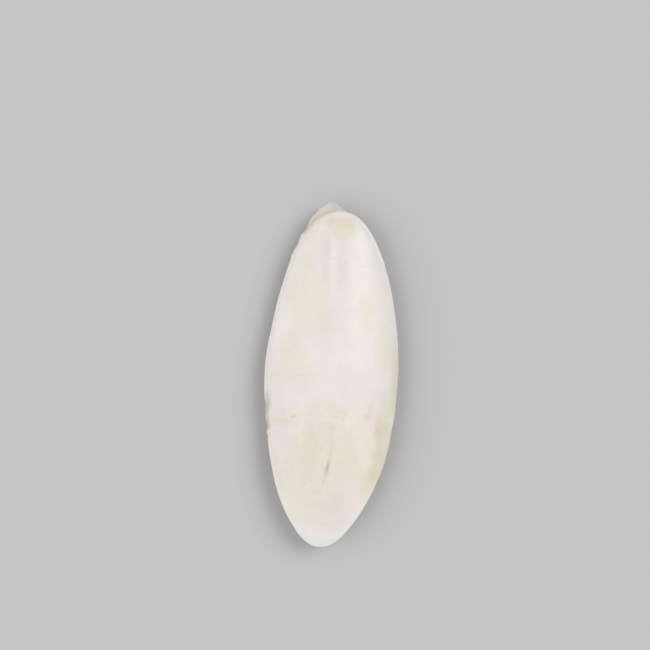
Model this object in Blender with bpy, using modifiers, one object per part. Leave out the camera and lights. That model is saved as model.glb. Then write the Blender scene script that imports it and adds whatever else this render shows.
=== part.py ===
"""Cuttlebone, the inner bone of a small cuttlefish, lying on its hard convex back with its chalky face up.

Metres, +Z up. +Y runs along the bone to its head end and +X runs across it. The origin is the middle of the
bone's bounding box, on the plane that it rests on.
"""

import math

import bmesh
import bpy
from mathutils import Matrix, Vector

MM = 0.001

# Overall size
LENGTH = 105.0 * MM
WIDTH = 41.0 * MM
THICKNESS = 12.2 * MM

# Outline seen from above: the half width falls from its widest place to each tip as (1 - r ** power) ** root
WIDEST_Y = 1.4 * MM
HEAD_POWER, HEAD_ROOT = 1.56, 0.477
TAIL_POWER, TAIL_ROOT = 2.10, 0.59
HEAD_LEAN, HEAD_LEAN_REACH = -2.5 * MM, 4.5 * MM
TAIL_LEAN, TAIL_LEAN_START_Y = -0.8 * MM, -28.0 * MM

# Back: a convex keel line, lowest under the centre of mass, and the depth of the arch across it
LOWEST_Y = 3.6 * MM
HEAD_CURL = 5.6 * MM
TAIL_CURL = 6.4 * MM
BACK_DEPTH = 5.6 * MM
BACK_DEPTH_POWER = 1.3
BACK_SECTION_POWER = 2.1

# Margin: the thin edge all round, and the ledge that it leaves beside the chalky face
MARGIN_THICKNESS = 0.9 * MM
SIDE_LEDGE = 1.0 * MM
TAIL_LEDGE = 2.4 * MM
LEDGE_WIDENS_Y = -20.0 * MM

# Chalky face: how far it swells above the margin, from the swollen head half to the hollow tail
CREST_Y = 12.0 * MM
CREST_RISE = 5.9 * MM
TAIL_RISE = -0.4 * MM
FRONT_EDGE_Y = 50.4 * MM
FRONT_POWER, FRONT_ROOT = 2.6, 0.55
TAIL_FALL_POWER = 0.9
FACE_SECTION_POWER, FACE_SECTION_ROOT = 2.6, 0.75

# Resting place: the height that wear has taken off the lowest part of the back, and the block that cuts it
FLAT_DEPTH = 0.2 * MM
CUTTER_SIZE = (60.0 * MM, 120.0 * MM, 2.0 * MM)

# Cage of the rounded form
AROUND = 28
ALONG = 24
ROUNDING_LEVELS = 1

# Aragonite, dry and chalky
CHALK_COLOUR = (0.80, 0.75, 0.70, 1.0)
CHALK_ROUGHNESS = 0.85


def clear_scene():
    """Remove the objects that the scene starts with."""
    for obj in list(bpy.data.objects):
        bpy.data.objects.remove(obj)


def new_collection(name):
    """A new collection under the scene's own."""
    collection = bpy.data.collections.new(name)
    bpy.context.scene.collection.children.link(collection)
    return collection


def new_material(name, colour, roughness):
    """A plain Principled material."""
    material = bpy.data.materials.new(name)
    material.use_nodes = True
    shader = material.node_tree.nodes["Principled BSDF"]
    shader.inputs["Base Color"].default_value = colour
    shader.inputs["Roughness"].default_value = roughness
    shader.inputs["Metallic"].default_value = 0.0
    return material


def reach(y, start, head_end, tail_end):
    """How far y lies from start towards the tip on its side, from 0 at start to 1 at that tip."""
    end = head_end if y > start else tail_end
    return min(max((y - start) / (end - start), 0.0), 1.0)


def half_width(y):
    """Half the bone's width at y."""
    r = reach(y, WIDEST_Y, LENGTH / 2, -LENGTH / 2)
    power, root = (HEAD_POWER, HEAD_ROOT) if y > WIDEST_Y else (TAIL_POWER, TAIL_ROOT)
    return WIDTH / 2 * (1 - r**power) ** root


def lean(y):
    """How far the middle line lies to one side of straight: both tips bend a little to -X."""
    at_head = HEAD_LEAN * math.exp(-(LENGTH / 2 - y) / HEAD_LEAN_REACH)
    past_start = max(TAIL_LEAN_START_Y - y, 0.0) / (TAIL_LEAN_START_Y + LENGTH / 2)
    return at_head + TAIL_LEAN * past_start


def keel_height(y):
    """Height of the back's middle line: a parabola each way from its lowest place."""
    curl = HEAD_CURL if y > LOWEST_Y else TAIL_CURL
    return curl * reach(y, LOWEST_Y, LENGTH / 2, -LENGTH / 2) ** 2


def back_depth(y):
    """How far the back's middle line lies below the margin."""
    return BACK_DEPTH * (half_width(y) / (WIDTH / 2)) ** BACK_DEPTH_POWER


def margin_height(y):
    """Height of the middle of the thin edge."""
    return keel_height(y) + back_depth(y) + MARGIN_THICKNESS / 2


def face_rise(y):
    """How far the chalky face's middle line stands above the margin."""
    r = reach(y, CREST_Y, FRONT_EDGE_Y, -LENGTH / 2)
    if y > CREST_Y:
        return CREST_RISE * (1 - r**FRONT_POWER) ** FRONT_ROOT
    fall = (1 + math.cos(math.pi * r**TAIL_FALL_POWER)) / 2
    return TAIL_RISE + (CREST_RISE - TAIL_RISE) * fall


def ledge_width(y):
    """Width of the ledge between the chalky face and the edge, wider round the tail."""
    return SIDE_LEDGE + (TAIL_LEDGE - SIDE_LEDGE) * reach(y, LEDGE_WIDENS_Y, LENGTH / 2, -LENGTH / 2)


def face_section(y, share):
    """Height of the chalky face across the bone at y, from 1 on the middle line to 0 at its ledge."""
    face_half_width = half_width(y) - ledge_width(y)
    if face_half_width <= 0:
        return 0.0
    r = min(share * half_width(y) / face_half_width, 1.0)
    return (1 - r**FACE_SECTION_POWER) ** FACE_SECTION_ROOT


def back_section(share):
    """Depth of the back across the bone, from 1 on the middle line to 0 at the margin."""
    return 1 - share**BACK_SECTION_POWER


def bone_point(direction):
    """The place on the bone of a point of the unit sphere whose poles, on Z, are the bone's tips."""
    y = direction.z * LENGTH / 2
    turn = math.atan2(direction.y, direction.x)
    widest_turn = math.cos(math.pi / AROUND)
    across = min(max(math.cos(turn) / widest_turn, -1.0), 1.0)
    x = lean(y) + half_width(y) * across
    if math.isclose(abs(direction.z), 1.0, abs_tol=1e-6):
        return Vector((lean(y), y, margin_height(y)))
    if math.sin(turn) > 0:
        above = MARGIN_THICKNESS / 2 + face_rise(y) * face_section(y, abs(across))
        return Vector((x, y, margin_height(y) + above))
    below = MARGIN_THICKNESS / 2 + back_depth(y) * back_section(abs(across))
    return Vector((x, y, margin_height(y) - below))


def build_bone(collection, material):
    """The rounded form: a sphere's net of faces carried onto the bone and smoothed by subdivision."""
    cage = bmesh.new()
    half_step = Matrix.Rotation(math.pi / AROUND, 4, "Z")
    bmesh.ops.create_uvsphere(cage, u_segments=AROUND, v_segments=ALONG, radius=1.0, matrix=half_step)
    for vertex in cage.verts:
        vertex.co = bone_point(vertex.co)
    bmesh.ops.recalc_face_normals(cage, faces=cage.faces)
    mesh = bpy.data.meshes.new("cuttlebone")
    cage.to_mesh(mesh)
    cage.free()
    mesh.materials.append(material)
    mesh.shade_smooth()
    bone = bpy.data.objects.new("cuttlebone", mesh)
    collection.objects.link(bone)
    rounding = bone.modifiers.new("rounding", "SUBSURF")
    rounding.levels = ROUNDING_LEVELS
    rounding.render_levels = ROUNDING_LEVELS
    return bone


def fit_to_size(bone):
    """Stretch the cage so that the smoothed form fills the stated size exactly, its back FLAT_DEPTH too low."""
    evaluated = bone.evaluated_get(bpy.context.evaluated_depsgraph_get())
    smoothed = evaluated.to_mesh()
    corners = [[side(v.co[axis] for v in smoothed.vertices) for axis in range(3)] for side in (min, max)]
    evaluated.to_mesh_clear()
    low, high = corners
    wanted_low = (-WIDTH / 2, -LENGTH / 2, -FLAT_DEPTH)
    wanted_high = (WIDTH / 2, LENGTH / 2, THICKNESS)
    for vertex in bone.data.vertices:
        for axis in range(3):
            share = (vertex.co[axis] - low[axis]) / (high[axis] - low[axis])
            vertex.co[axis] = wanted_low[axis] + share * (wanted_high[axis] - wanted_low[axis])


def cut_resting_flat(bone, collection):
    """Cut off what lies below the resting plane, which leaves a small flat on the back."""
    below = (0, 0, -CUTTER_SIZE[2] / 2)
    bpy.ops.mesh.primitive_cube_add(size=1, location=below, scale=CUTTER_SIZE)
    cutter = bpy.context.object
    cutter.name = "resting_plane_cutter"
    bpy.ops.object.transform_apply(location=True, rotation=True, scale=True)
    for owner in list(cutter.users_collection):
        owner.objects.unlink(cutter)
    collection.objects.link(cutter)
    cutter.hide_render = True
    cutter.display_type = "WIRE"
    cut = bone.modifiers.new("resting_flat", "BOOLEAN")
    cut.operation = "DIFFERENCE"
    cut.solver = "EXACT"
    cut.object = cutter


def main():
    """Build the bone and its cutter."""
    clear_scene()
    bone_collection = new_collection("Cuttlebone")
    cutter_collection = new_collection("Cutters")
    chalk = new_material("Aragonite chalk", CHALK_COLOUR, CHALK_ROUGHNESS)
    bone = build_bone(bone_collection, chalk)
    fit_to_size(bone)
    cut_resting_flat(bone, cutter_collection)


main()
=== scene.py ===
"""Looks of a cuttlebone that lies on its hard convex back with its chalky face up, seen from straight above.

The bone's axes are the frame's: +Y runs to its head end, +X across it and +Z up. Its classes hold lengths in
millimetres, and its mesh becomes metres when it is made.
"""

from __future__ import annotations

import logging
import math
from dataclasses import dataclass, field
from enum import Enum

import bpy
import numpy as np
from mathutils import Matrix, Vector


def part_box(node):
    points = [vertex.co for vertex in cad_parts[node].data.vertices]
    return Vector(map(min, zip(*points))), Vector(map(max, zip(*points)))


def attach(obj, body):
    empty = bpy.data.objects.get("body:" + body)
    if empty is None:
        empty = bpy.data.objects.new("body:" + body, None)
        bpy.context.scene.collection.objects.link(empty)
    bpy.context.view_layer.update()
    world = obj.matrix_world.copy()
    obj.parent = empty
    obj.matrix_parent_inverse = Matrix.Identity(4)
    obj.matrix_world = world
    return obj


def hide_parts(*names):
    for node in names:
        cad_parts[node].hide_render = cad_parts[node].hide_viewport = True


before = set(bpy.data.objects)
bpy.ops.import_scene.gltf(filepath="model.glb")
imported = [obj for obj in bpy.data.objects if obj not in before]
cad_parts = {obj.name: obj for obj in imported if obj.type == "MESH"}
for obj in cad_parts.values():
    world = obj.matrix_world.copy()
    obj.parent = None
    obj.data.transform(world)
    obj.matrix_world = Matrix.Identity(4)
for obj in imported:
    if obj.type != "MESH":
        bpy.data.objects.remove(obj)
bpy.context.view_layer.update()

LOG = logging.getLogger("cuttlebone")
Array = np.ndarray
Tree = bpy.types.NodeTree
Socket = bpy.types.NodeSocket
# Red, green, blue and alpha
Colour = tuple[float, float, float, float]
# Two values: where something that comes in smoothly begins, and where it is complete
Span = tuple[float, float]

MM = 0.001
NODE = "cuttlebone"
BODY = "root"


# Small mathematics that the shapes share


def smoothstep(low: float, high: float, value: Array) -> Array:
    """A smooth rise from 0 at low to 1 at high: 3t^2 - 2t^3, where t is how far value has come between them.

    Args:
        low: the value where the curve leaves 0. Above high, it makes the curve fall.
        high: the value where it reaches 1.
        value: the values to read the curve at.

    Returns:
        The curve at each value.
    """
    t = np.clip((value - low) / (high - low), 0.0, 1.0)
    return t * t * (3.0 - 2.0 * t)


def hill(distance: Array, width: float) -> Array:
    """A rounded hill of height 1, exp(-(distance / width)^2)."""
    return np.exp(-((distance / width) ** 2))


def soft_max(a: Array, b: Array, radius: float) -> Array:
    """The larger of a and b with a rounded corner: (a + b + sqrt((a - b)^2 + radius^2)) / 2."""
    return (a + b + np.sqrt((a - b) ** 2 + radius**2)) / 2.0


def at_least(least: float, share: Array) -> Array:
    """A line that is least where share is 0 and 1 where it is 1: least + (1 - least) * share."""
    return least + (1.0 - least) * share


@dataclass(frozen=True)
class Noise:
    """Value noise: random numbers on the corners of a square lattice, blended smoothly between them.

    The wavelength is the first layer's lattice spacing, in millimetres. Each further layer has half the
    wavelength and half the height of the one before.
    """

    seed: int
    wavelength: float
    layers: int = 1
    cells: int = 256

    def layer(self, number: int, x: Array, y: Array) -> Array:
        """One layer of the noise.

        Args:
            number: 0 for the first layer, 1 for the next, and so on.
            x: first coordinate.
            y: second coordinate, of a shape that fits x.

        Returns:
            Noise between -1 and 1 at each point.
        """
        table = np.random.default_rng(self.seed + number).uniform(-1.0, 1.0, (self.cells, self.cells))
        wavelength = self.wavelength * 0.5**number
        u, v = np.broadcast_arrays(x / wavelength, y / wavelength)
        column, row = np.floor(u).astype(int), np.floor(v).astype(int)
        across, along = smoothstep(0.0, 1.0, u - column), smoothstep(0.0, 1.0, v - row)
        left, right = column % self.cells, (column + 1) % self.cells
        low, high = row % self.cells, (row + 1) % self.cells
        below = table[low, left] * (1.0 - across) + table[low, right] * across
        above = table[high, left] * (1.0 - across) + table[high, right] * across
        return below * (1.0 - along) + above * along

    def at(self, x: Array, y: Array) -> Array:
        """The sum of the layers at each point, scaled to lie between -1 and 1."""
        shares = [0.5**number for number in range(self.layers)]
        return sum(share * self.layer(number, x, y) for number, share in enumerate(shares)) / sum(shares)


# The bone's form


@dataclass(frozen=True)
class Chip:
    """A place where the thin edge is worn or broken in.

    Side is -1 for the left edge and 1 for the right one. The edge moves in by depth at y, less and less over
    length to both sides. Where depth is negative it stands out instead, as a small step.
    """

    side: int
    y: float
    length: float
    depth: float

    def at(self, y: Array) -> Array:
        """How far the edge moves in at y."""
        return self.depth * hill(y - self.y, self.length / 2.0)


@dataclass(frozen=True)
class Outline:
    """The bone seen from above, as its left and right edge at each place along it.

    Half the width of the body falls from its widest place to each end as (1 - r^power)^root, where r runs
    from 0 to 1. The tail's tip is blunter: its half width is tail_blunt * sqrt(d), where d is the distance
    from it. In front of the chalk the shield's thin lip stands out, a little to the left, as a blunt point.
    Its half width h is lip_spread * sqrt((d + lip_round)^2 - lip_round^2), and it levels off as
    h / (1 + (h / lip_limit)^4)^1/4. The parts are joined by rounded corners. The tips are kept free of wear.

    Each lean is a shift to the right, with the places along the bone where it begins and is complete. The
    place of the front, the powers, the roots and eight of the leans' twelve numbers come from a least-squares
    fit of this formula to the bone's edge in the photograph.
    """

    half_length: float
    half_width: float
    widest_y: float = 2.2
    front_y: float = 49.6
    head_power: float = 1.37
    head_root: float = 0.401
    tail_power: float = 2.24
    tail_root: float = 0.596
    tail_blunt: float = 3.42
    tail_blunt_span: Span = (12.0, 4.0)
    tail_rounding: float = 0.5
    tail_rounding_span: Span = (14.0, 6.0)
    leans: tuple[tuple[float, float, float], ...] = (
        (0.18, 0.0, 14.0),
        (-0.71, 26.4, 52.0),
        (0.30, -4.0, -20.0),
        (-1.00, -18.0, -53.0),
    )
    lip_x: float = -2.52
    lip_spread: float = 1.15
    lip_round: float = 0.9
    lip_limit: float = 6.8
    lip_side: Span = (0.0, 30.0)
    notch_rounding: float = 0.7
    front_steepness: float = 4.0
    calm_tip: float = 5.0
    waviness: float = 0.07
    waves: tuple[Noise, Noise] = (Noise(10, 7.0, 4), Noise(12, 7.0, 4))
    chips: tuple[Chip, ...] = (
        Chip(-1, 46.4, 3.2, -0.30),
        Chip(-1, 43.4, 2.4, 0.24),
        Chip(-1, 41.8, 0.9, -0.28),
        Chip(-1, 48.7, 1.0, 0.20),
        Chip(-1, 49.9, 1.1, -0.35),
        Chip(-1, 38.9, 1.8, 0.26),
        Chip(-1, 35.2, 1.0, -0.24),
        Chip(-1, 11.9, 3.0, 0.08),
        Chip(-1, -10.2, 3.2, 0.24),
        Chip(-1, -13.0, 1.1, 0.24),
        Chip(-1, -16.6, 1.9, 0.34),
        Chip(-1, -19.9, 1.5, 0.22),
        Chip(-1, -21.6, 1.2, 0.15),
        Chip(1, -17.4, 6.0, 0.24),
        Chip(1, -23.4, 1.4, 0.14),
        Chip(1, 32.4, 2.4, 0.10),
    )

    def tip_distance(self, y: Array) -> Array:
        """How far y lies from the nearer tip."""
        return np.clip(self.half_length - np.abs(y), 0.0, None)

    def body_half_width(self, y: Array) -> Array:
        """Half the width of the body, which falls steeply below 0 in front of the chalk.

        Args:
            y: places along the bone.

        Returns:
            Half the width at each place.
        """
        toward_head = y > self.widest_y
        end = np.where(toward_head, self.front_y, -self.half_length)
        r = np.clip((y - self.widest_y) / (end - self.widest_y), 0.0, 1.0)
        power = np.where(toward_head, self.head_power, self.tail_power)
        root = np.where(toward_head, self.head_root, self.tail_root)
        past_front = np.clip(y - self.front_y, 0.0, None)
        body = self.half_width * (1.0 - r**power) ** root - self.front_steepness * past_front
        from_tail = np.clip(y + self.half_length, 0.0, None)
        blunt = self.tail_blunt * np.sqrt(from_tail) * smoothstep(*self.tail_blunt_span, from_tail)
        rounding = self.tail_rounding * smoothstep(*self.tail_rounding_span, from_tail)
        return np.where(toward_head, body, soft_max(body, blunt, rounding))

    def lip_half_width(self, y: Array) -> Array:
        """Half the width of the shield's lip, which counts on the head's side only.

        Args:
            y: places along the bone.

        Returns:
            Half the width at each place.
        """
        from_tip = self.half_length - y + self.lip_round
        spread = self.lip_spread * np.sqrt(np.clip(from_tip**2 - self.lip_round**2, 0.0, None))
        return spread / (1.0 + (spread / self.lip_limit) ** 4) ** 0.25

    def lean(self, y: Array) -> Array:
        """How far the body's middle line lies to the right: a few slow shifts, each over a stretch of y."""
        return sum(shift * smoothstep(start, end, y) for shift, start, end in self.leans)

    def edges(self, y: Array) -> tuple[Array, Array]:
        """The left and right edge.

        Args:
            y: places along the bone.

        Returns:
            The edges' x at each place, left first.
        """
        body = self.body_half_width(y)
        headward = smoothstep(*self.lip_side, y)
        rounding = self.notch_rounding * headward
        lip = self.lip_half_width(y) * headward
        left = -soft_max(body - self.lean(y), lip - self.lip_x * headward, rounding)
        right = soft_max(body + self.lean(y), lip + self.lip_x * headward, rounding)
        calm = smoothstep(0.0, self.calm_tip, self.tip_distance(y))
        edges = []
        for side, edge, wave in zip((-1, 1), (left, right), self.waves):
            worn = sum(chip.at(y) for chip in self.chips if chip.side == side)
            edges.append(edge - side * calm * (worn + self.waviness * (1.0 + wave.at(y, 0.0 * y))))
        return edges[0], edges[1]


@dataclass(frozen=True)
class Profile:
    """The bone seen from its side: heights that change along it.

    The back's keel line is a parabola each way from its lowest place. The thin edge stands above it by the
    depth of the back's arch, which shrinks with the width, and the chalk swells above the edge.
    """

    half_length: float
    half_width: float
    front_y: float
    lowest_y: float = 3.6
    head_curl: float = 5.6
    tail_curl: float = 6.4
    worn_off: float = 0.2
    arch_depth: float = 5.6
    arch_depth_power: float = 1.3
    margin_middle: float = 0.45
    margin_thickness: float = 0.70
    crest_y: float = 12.0
    crest_rise: float = 6.08
    tail_rise: float = -0.45
    front_power: float = 2.6
    front_root: float = 0.55
    tail_fall_power: float = 0.9

    def reach(self, y: Array, start: float, head_end: float) -> Array:
        """How far y lies from start towards the end on its side, from 0 to 1. The tail's end is its tip."""
        end = np.where(y > start, head_end, -self.half_length)
        return np.clip((y - start) / (end - start), 0.0, 1.0)

    def keel(self, y: Array) -> Array:
        """Height of the back's middle line, before wear takes off what lies below the resting plane."""
        curl = np.where(y > self.lowest_y, self.head_curl, self.tail_curl)
        return curl * self.reach(y, self.lowest_y, self.half_length) ** 2 - self.worn_off

    def arch(self, half_width: Array) -> Array:
        """How far the back's middle line lies below the edge, where the bone is that wide."""
        return self.arch_depth * (half_width / self.half_width) ** self.arch_depth_power

    def margin(self, y: Array, half_width: Array) -> Array:
        """Height of the middle of the thin edge."""
        return self.keel(y) + self.arch(half_width) + self.margin_middle

    def half_margin(self, tip_distance: Array) -> Array:
        """Half the edge's thickness, which closes in a half circle at each tip.

        Args:
            tip_distance: how far each place lies from the nearer tip.

        Returns:
            Half the thickness at each place.
        """
        half = self.margin_thickness / 2.0
        inside = np.clip(tip_distance / half, 0.0, 1.0)
        return half * np.sqrt(1.0 - (1.0 - inside) ** 2)

    def rise(self, y: Array) -> Array:
        """How far the chalk's middle line stands above the edge.

        From the crest it falls bluntly to the front, as (1 - r^power)^root, and slowly to the tail, as half a
        cosine wave of r^power, where r runs from 0 to 1.

        Args:
            y: places along the bone.

        Returns:
            Height above the middle of the edge, in millimetres.
        """
        r = self.reach(y, self.crest_y, self.front_y)
        front = self.crest_rise * (1.0 - r**self.front_power) ** self.front_root
        fall = (1.0 + np.cos(np.pi * r**self.tail_fall_power)) / 2.0
        aft = self.tail_rise + (self.crest_rise - self.tail_rise) * fall
        return np.where(y > self.crest_y, front, aft)


@dataclass(frozen=True)
class GrowthLines:
    """The edges of the chalk's thin plates, laid down one after another.

    Each line is the last one moved along the bone, so one number, the growth in millimetres along the middle
    line, tells them apart. On the face a line is an arch, the hyperbola
    y = growth - slope * (sqrt((x - apex_x)^2 + blunt^2) - blunt). On the back it is the parabola
    y = growth - back_bend * x^2. Behind the front the lines are bared. Single lines fade out where an arch is
    steeper than the second of plain_slopes, and are gone past the first.
    """

    apex_x: float = 0.9
    slope: float = 3.6
    blunt: float = 10.0
    plain_slopes: Span = (3.0, 1.6)
    front: float = -9.0
    front_tilt: float = 0.45
    front_softness: float = 4.4
    front_raggedness: float = 8.5
    front_noise: Noise = Noise(31, 5.2, 4)
    terrace_spacing: float = 2.1
    terrace_height: float = 0.045
    terrace_crest: float = 0.75
    terrace_wobble: float = 0.45
    terrace_noise: Noise = Noise(32, 5.0, 3)
    terrace_sways: tuple[tuple[float, float], ...] = ((0.35, 0.61), (0.2, 1.73))
    back_bend: float = 0.028
    back_spacing: float = 2.6
    back_height: float = 0.035
    back_wobble: float = 0.7
    back_noise: Noise = Noise(33, 8.0, 2)
    back_steadiness: float = 0.55
    back_strength_noise: Noise = Noise(34, 16.0)

    def on_face(self, x: Array, y: Array) -> Array:
        """The growth at each place of the face, in millimetres along the middle line."""
        return y + self.slope * (np.sqrt((x - self.apex_x) ** 2 + self.blunt**2) - self.blunt)

    def plainness(self, x: Array) -> Array:
        """How well single lines show: 1 in the middle, less where the arches crowd together at the sides."""
        from_apex = np.sqrt((x - self.apex_x) ** 2 + self.blunt**2)
        return smoothstep(*self.plain_slopes, self.slope * np.abs(x - self.apex_x) / from_apex)

    def on_back(self, x: Array, y: Array) -> Array:
        """The growth at each place of the back."""
        return y + self.back_bend * x**2

    def bared(self, growth: Array, x: Array, y: Array) -> Array:
        """How much the lines are bared.

        Args:
            growth: the growth at each place.
            x: places across the bone.
            y: places along it.

        Returns:
            0 on the smooth last plate and 1 behind the arched, ragged, tilted front.
        """
        ragged = self.front_raggedness * self.front_noise.at(x, y) + self.front_tilt * (x - self.apex_x)
        start, end = self.front + self.front_softness, self.front - self.front_softness
        return smoothstep(start, end, growth + ragged)

    def terraces(self, growth: Array, x: Array, y: Array) -> Array:
        """Low steps between groups of plates, each a slow rise and a quick fall.

        Their spacing is uneven: noise and two sines, each with a height and a pace, shift the steps' turn.

        Args:
            growth: the growth at each place.
            x: places across the bone.
            y: places along it.

        Returns:
            The steps' height, between 0 and terrace_height. It fades where the arches run so steeply that
            the steps crowd together.
        """
        turn = (growth + self.terrace_wobble * self.terrace_noise.at(x, y)) / self.terrace_spacing
        turn = turn + sum(height * np.sin(turn * pace) for height, pace in self.terrace_sways)
        step = turn - np.floor(turn)
        shape = smoothstep(0.0, self.terrace_crest, step) * smoothstep(1.0, self.terrace_crest, step)
        return self.terrace_height * shape * self.plainness(x)

    def ripples(self, x: Array, y: Array) -> Array:
        """The back's growth ripples, a sine along its growth with a slow change of strength.

        Args:
            x: places across the bone.
            y: places along it.

        Returns:
            The ripples' height outwards, in millimetres.
        """
        turn = (self.on_back(x, y) + self.back_wobble * self.back_noise.at(x, y)) / self.back_spacing
        strength = at_least(self.back_steadiness, self.back_strength_noise.at(x, y))
        return self.back_height * strength * np.sin(2.0 * np.pi * turn)


@dataclass(frozen=True)
class Groove:
    """A slit, scratch or pit in the chalk: a straight line with a rounded section and rounded ends.

    Its dirt fills a little less than its width.
    """

    start: tuple[float, float]
    end: tuple[float, float]
    width: float
    depth: float
    dirt: float
    dirt_width: float = 0.9

    def section(self, x: Array, y: Array, width: float) -> Array:
        """A rounded ridge of height 1 along the line.

        Args:
            x: places across the bone.
            y: places along it.
            width: the ridge's width where it has fallen to about a third.

        Returns:
            hill() of the distance from the line.
        """
        (x0, y0), (x1, y1) = self.start, self.end
        length_squared = (x1 - x0) ** 2 + (y1 - y0) ** 2
        t = np.clip(((x - x0) * (x1 - x0) + (y - y0) * (y1 - y0)) / length_squared, 0.0, 1.0)
        distance = np.hypot(x - x0 - t * (x1 - x0), y - y0 - t * (y1 - y0))
        return hill(distance, width / 2.0)


@dataclass(frozen=True)
class ChalkRelief:
    """Everything that departs from a smooth swelling on the chalky face."""

    growth: GrowthLines
    unevenness: float = 0.10
    uneven_noise: Noise = Noise(41, 15.0, 3)
    hollow_depth: float = 0.26
    hollow_width: float = 11.0
    hollow_span: Span = (-4.0, -22.0)
    bared_step: float = 0.06
    least_terraces: float = 0.25
    sulcus_depth: float = 0.16
    sulcus_width: float = 4.2
    trough_depth: float = 0.13
    troughs: tuple[tuple[float, float], ...] = ((-3.9, 1.7), (1.6, 1.7))
    trough_tail_end: Span = (24.0, 31.0)
    trough_head_end: Span = (44.4, 40.4)
    trough_middle_y: float = 35.7
    trough_slant: float = 0.056
    grooves: tuple[Groove, ...] = (
        Groove((0.98, -24.4), (0.60, -27.2), 0.70, 0.10, 0.20),
        Groove((0.66, -26.6), (0.22, -29.4), 1.00, 0.20, 0.26),
        Groove((0.40, -28.0), (0.11, -30.5), 1.15, 0.28, 0.26),
        Groove((0.77, -15.4), (1.20, -24.1), 1.90, 0.07, 0.09),
        Groove((-0.50, -32.3), (-0.75, -33.9), 0.60, 0.12, 0.15),
        Groove((-2.90, -35.8), (-1.20, -36.5), 0.55, 0.08, 0.12),
        Groove((-6.50, -33.6), (-6.30, -33.8), 0.90, 0.14, 0.16),
        Groove((-19.0, -1.60), (-1.90, -0.30), 0.70, 0.05, 0.03),
        Groove((-17.0, -11.6), (-11.9, -11.3), 0.70, 0.04, 0.05),
        Groove((-11.3, -13.5), (-10.2, -13.1), 1.05, 0.12, 0.22),
        Groove((11.5, -11.9), (11.6, -12.5), 1.00, 0.08, 0.10),
        Groove((12.6, -8.50), (12.4, -10.8), 0.80, 0.08, 0.10),
        Groove((-15.9, 1.40), (-15.5, 2.00), 0.90, 0.08, 0.08),
        Groove((-5.30, 16.7), (-4.90, 17.4), 0.80, 0.08, 0.08),
    )

    def trough_strength(self, x: Array, y: Array) -> Array:
        """How deep the two shallow, slightly slanting troughs of the head half are.

        Args:
            x: places across the bone.
            y: places along it.

        Returns:
            1 along the middle of each trough, a rounded hill across it, and 0 past its ends.
        """
        along = smoothstep(*self.trough_tail_end, y) * smoothstep(*self.trough_head_end, y)
        upright = x + self.trough_slant * (y - self.trough_middle_y)
        return along * sum(hill(upright - middle, width) for middle, width in self.troughs)

    def groove_dirt(self, x: Array, y: Array) -> Array:
        """How much dirt lies in the grooves."""
        return sum(g.dirt * g.section(x, y, g.width * g.dirt_width) for g in self.grooves)

    def height(self, x: Array, y: Array) -> Array:
        """The relief's height.

        Args:
            x: places across the bone.
            y: places along it.

        Returns:
            Height above the smooth swelling, in millimetres.
        """
        line = self.growth.on_face(x, y)
        bared = self.growth.bared(line, x, y)
        height = self.unevenness * self.uneven_noise.at(x, y)
        height -= self.trough_depth * self.trough_strength(x, y)
        hollow = self.hollow_depth * hill(x - self.growth.apex_x, self.hollow_width)
        height -= smoothstep(*self.hollow_span, y) * hollow + self.bared_step * bared
        height -= bared * self.sulcus_depth * hill(x - self.growth.apex_x, self.sulcus_width / 2.0)
        height += at_least(self.least_terraces, bared) * self.growth.terraces(line, x, y)
        for groove in self.grooves:
            height -= groove.depth * groove.section(x, y, groove.width)
        return height


@dataclass(frozen=True)
class BackRelief:
    """What departs from a smooth arch on the hard back: a broad middle rib between two shallow furrows.

    Rib and furrows narrow to a share of their width at the tail. All of it dies away at the edge.
    """

    growth: GrowthLines
    rib_height: float = 0.28
    rib_width: float = 7.0
    furrow_depth: float = 0.16
    furrow_x: float = 6.6
    furrow_width: float = 4.0
    tail_share: float = 0.55
    widening_span: Span = (-48.0, 20.0)
    unevenness: float = 0.10
    uneven_noise: Noise = Noise(51, 12.0, 3)
    edge_span: Span = (1.0, 0.86)

    def height(self, x: Array, y: Array, share: Array) -> Array:
        """The relief's height outwards.

        Args:
            x: places across the bone.
            y: places along it.
            share: how far out each place is, from 0 on the middle line to 1 at the edge.

        Returns:
            Height outwards, in millimetres.
        """
        widening = at_least(self.tail_share, smoothstep(*self.widening_span, y))
        rib = self.rib_height * hill(x, self.rib_width / 2.0 * widening)
        furrow = self.furrow_depth * hill(np.abs(x) - self.furrow_x * widening, self.furrow_width / 2.0)
        uneven = self.unevenness * self.uneven_noise.at(x, y)
        return smoothstep(*self.edge_span, share) * (rib - furrow + uneven + self.growth.ripples(x, y))


# What has coloured the surface


class Mask(Enum):
    """The things that colour the bone, painted light and shade among them. Each is an attribute of its mesh,
    from 0 where there is none to 1.
    """

    GROWTH = "growth"
    SHIELD = "shield"
    LIP = "lip"
    RIM = "rim"
    CREAM = "cream"
    BARED = "bared"
    COMBED = "combed"
    # Painted light: lighter patches for a soft highlight and for light on a flank that the lamps leave
    # darker.
    PALE = "pale"
    # Painted shade: darker patches in the troughs of the head half, on the right flank and towards the tail.
    SHADE = "shade"
    OLIVE = "olive"
    RUST = "rust"
    DIRT = "dirt"


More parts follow.
